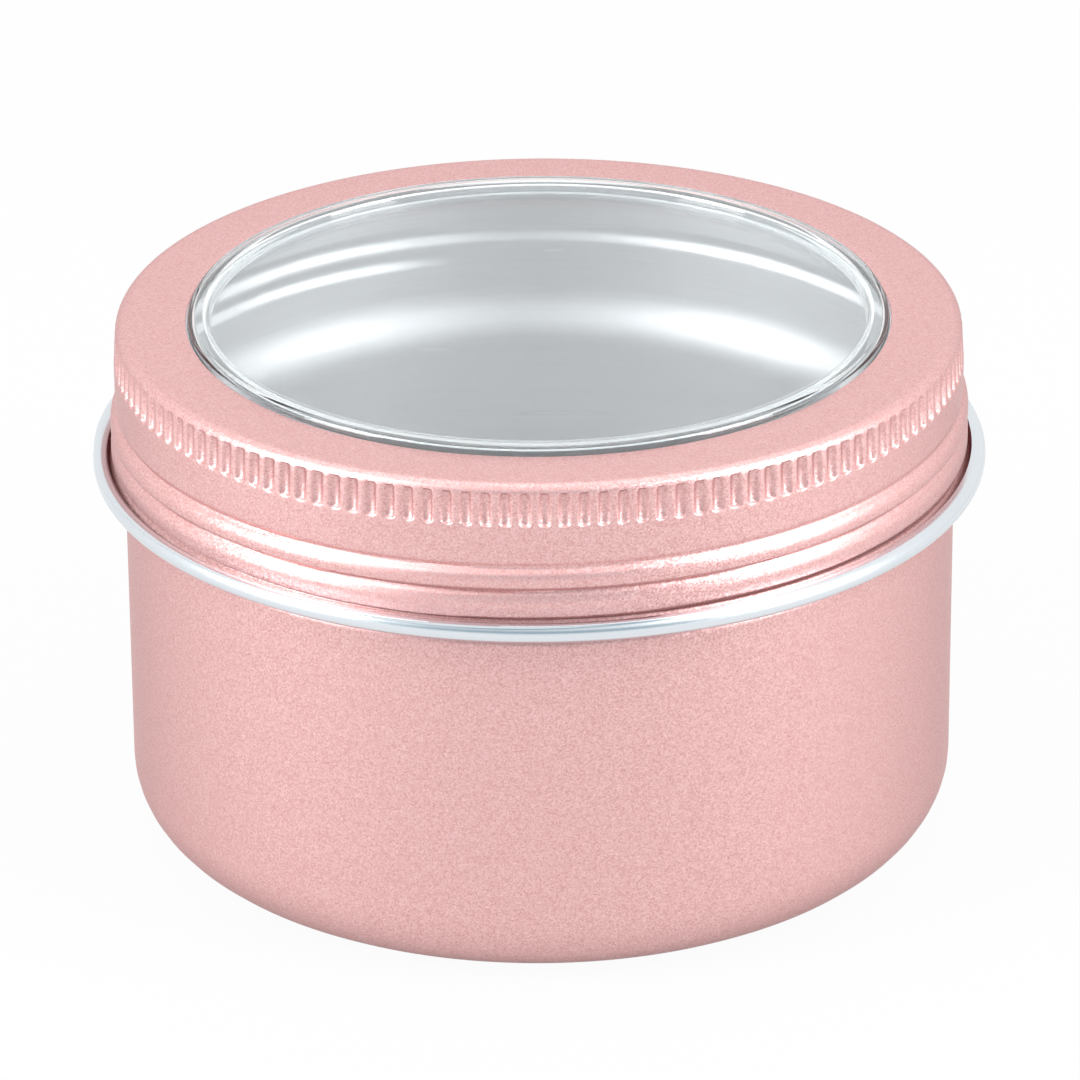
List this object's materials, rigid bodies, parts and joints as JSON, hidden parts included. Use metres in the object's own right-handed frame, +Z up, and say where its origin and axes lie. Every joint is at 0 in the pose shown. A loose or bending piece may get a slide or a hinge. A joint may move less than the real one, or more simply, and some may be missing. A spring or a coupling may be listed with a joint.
{
  "type": "window lid tin",
  "caption": "Round drawn aluminium tin with a knurled screw lid, a clear window in the lid and a silver curled lid edge.",
  "frame": {"origin": "centre of the flat foot ring, on the surface that the tin stands on", "axes": "+Z up along the axis that the lid turns about; -Y is the side that the picture shows"},
  "size_m": [0.083, 0.083, 0.0507],
  "materials": {
    "rose_aluminium": "satin metallic rose coating outside, bare satin aluminium inside and on the curled edge",
    "clear_plastic": "clear, glossy, lightly scratched"
  },
  "bodies": {
    "can": {"can_body": "rose_aluminium"},
    "window_disc": {"window": "clear_plastic"},
    "lid": {"lid_shell": "rose_aluminium"}
  },
  "joints": [
    {"name": "lid_rise", "type": "slide", "parent": "can", "child": "window_disc", "axis": [0, 0, 1], "range_m": [0, 0.0135]},
    {"name": "lid_turn", "type": "hinge", "parent": "window_disc", "child": "lid", "pos_m": [0, 0, 0.05], "axis": [0, 0, 1], "range_deg": [0, 2160]}
  ],
  "couplings": [
    {"joint": "lid_rise", "follows": "lid_turn", "m_per_rad": 0.0003581}
  ]
}
